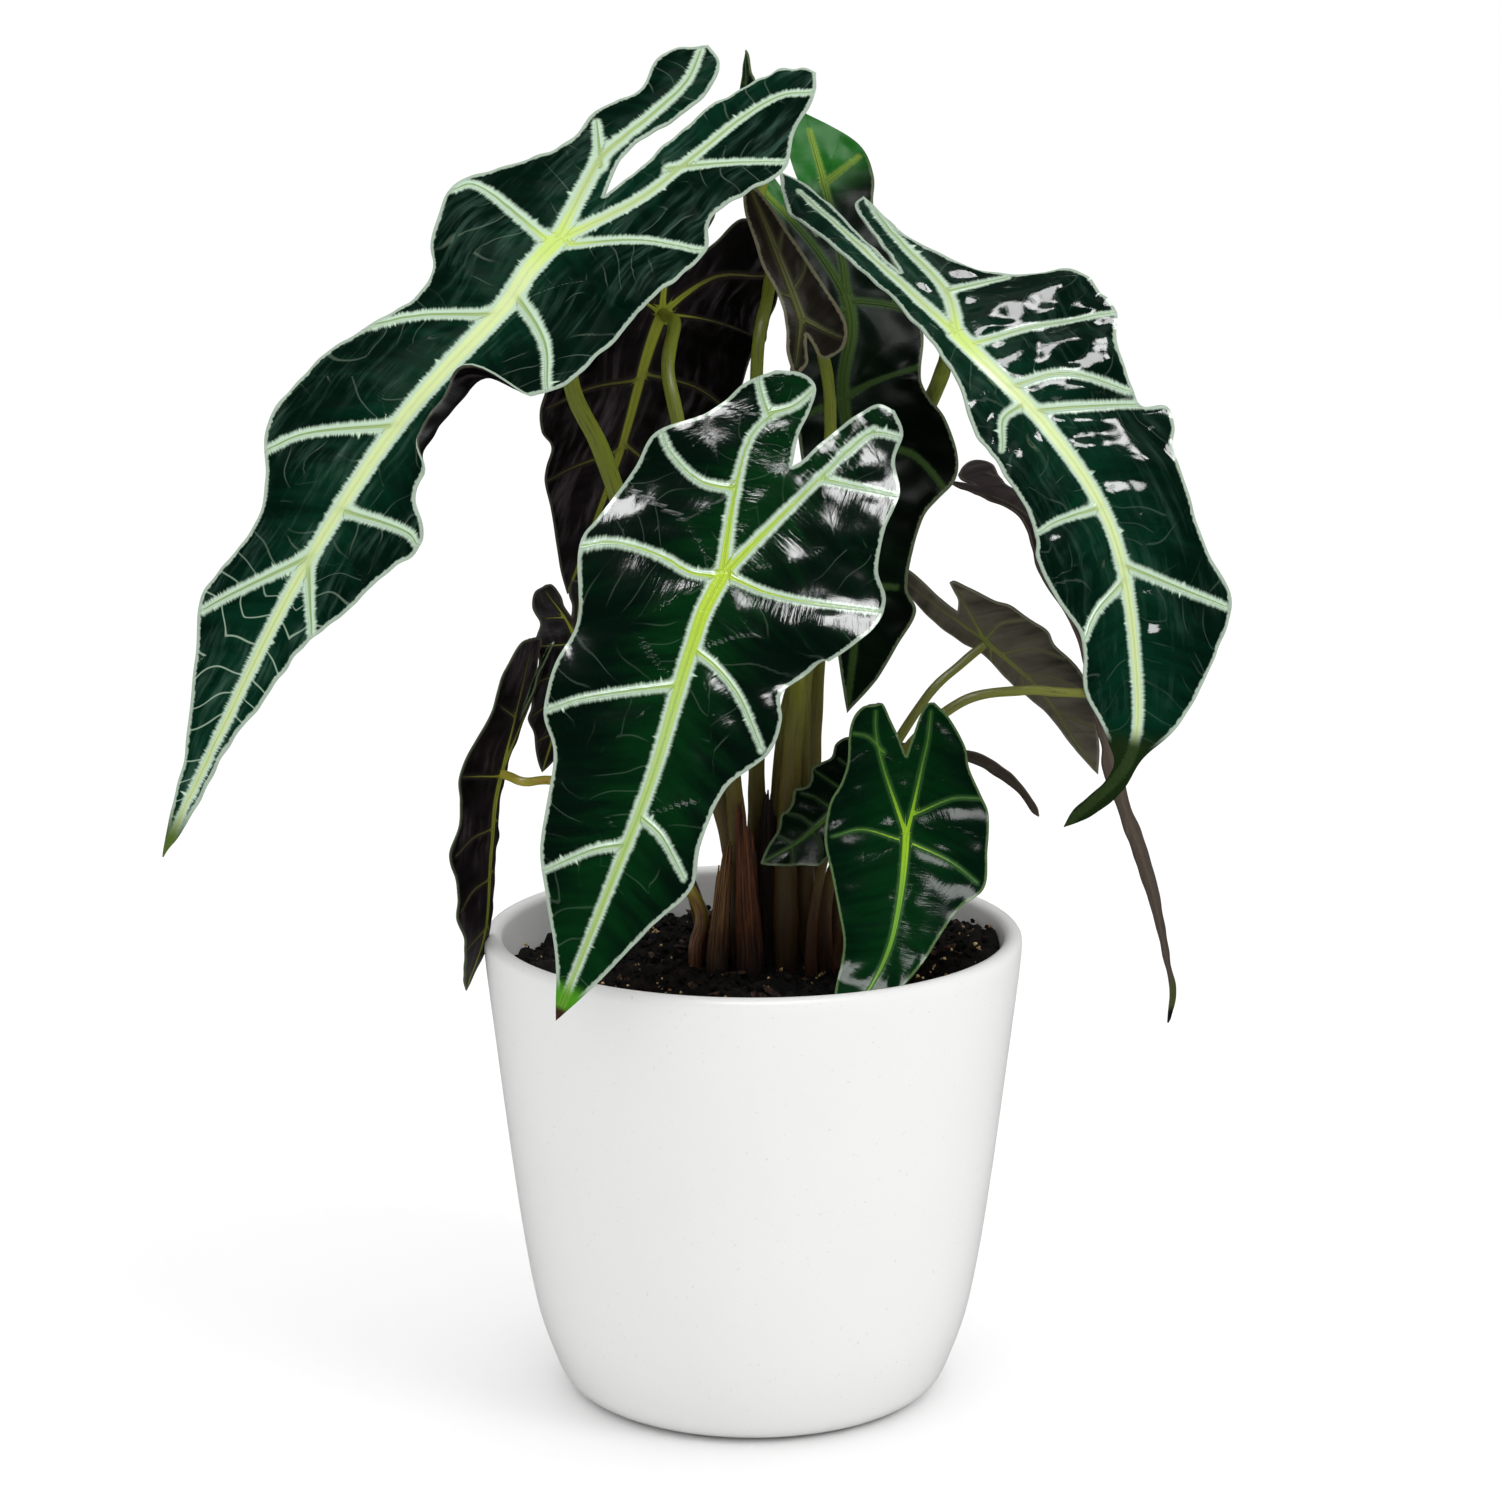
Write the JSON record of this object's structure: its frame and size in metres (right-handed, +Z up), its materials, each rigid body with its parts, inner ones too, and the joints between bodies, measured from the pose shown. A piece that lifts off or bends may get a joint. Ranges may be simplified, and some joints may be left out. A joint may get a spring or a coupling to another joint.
{
  "type": "potted alocasia plant",
  "caption": "Polly alocasia with dark, pale-veined arrowhead leaves drooping from upright stalks, growing in soil in a plain tapered white glazed ceramic pot.",
  "frame": {"origin": "centre of the pot's flat underside, on the surface it stands on", "axes": "+Z up; -Y is the side the picture was taken from, with the largest leaf towards -X"},
  "size_m": [0.2774, 0.1602, 0.3736],
  "materials": {
    "dark_leaf": "glossy very dark green upper face with pale veins and margin, purple-brown underside",
    "young_leaf": "glossy fresh green with thin yellow-green veins",
    "stalk": "smooth olive green, semi-gloss",
    "husk": "dry red-brown papery sheath",
    "potting_soil": "dark crumbly peat with bark and perlite",
    "white_glaze": "smooth white satin glaze"
  },
  "bodies": {
    "root": {"blade_big_left": "dark_leaf", "blade_big_right": "dark_leaf", "blade_edge_left": "dark_leaf", "blade_edge_right": "dark_leaf", "blade_front": "dark_leaf", "blade_grey": "dark_leaf", "blade_hood": "dark_leaf", "blade_low": "dark_leaf", "blade_purple": "dark_leaf", "blade_rear": "dark_leaf", "blade_sliver": "dark_leaf", "blade_top": "dark_leaf", "blade_tucked": "dark_leaf", "blade_young": "young_leaf", "petiole_big_left": "stalk", "petiole_big_right": "stalk", "petiole_edge_left": "stalk", "petiole_edge_right": "stalk", "petiole_front": "stalk", "petiole_grey": "stalk", "petiole_hood": "stalk", "petiole_low": "stalk", "petiole_purple": "stalk", "petiole_rear": "stalk", "petiole_sliver": "stalk", "petiole_top": "stalk", "petiole_tucked": "stalk", "petiole_young": "stalk", "pot": "white_glaze", "sheath_brown": "husk", "sheath_red": "husk", "sheath_tan": "husk", "soil": "potting_soil"}
  },
  "joints": []
}
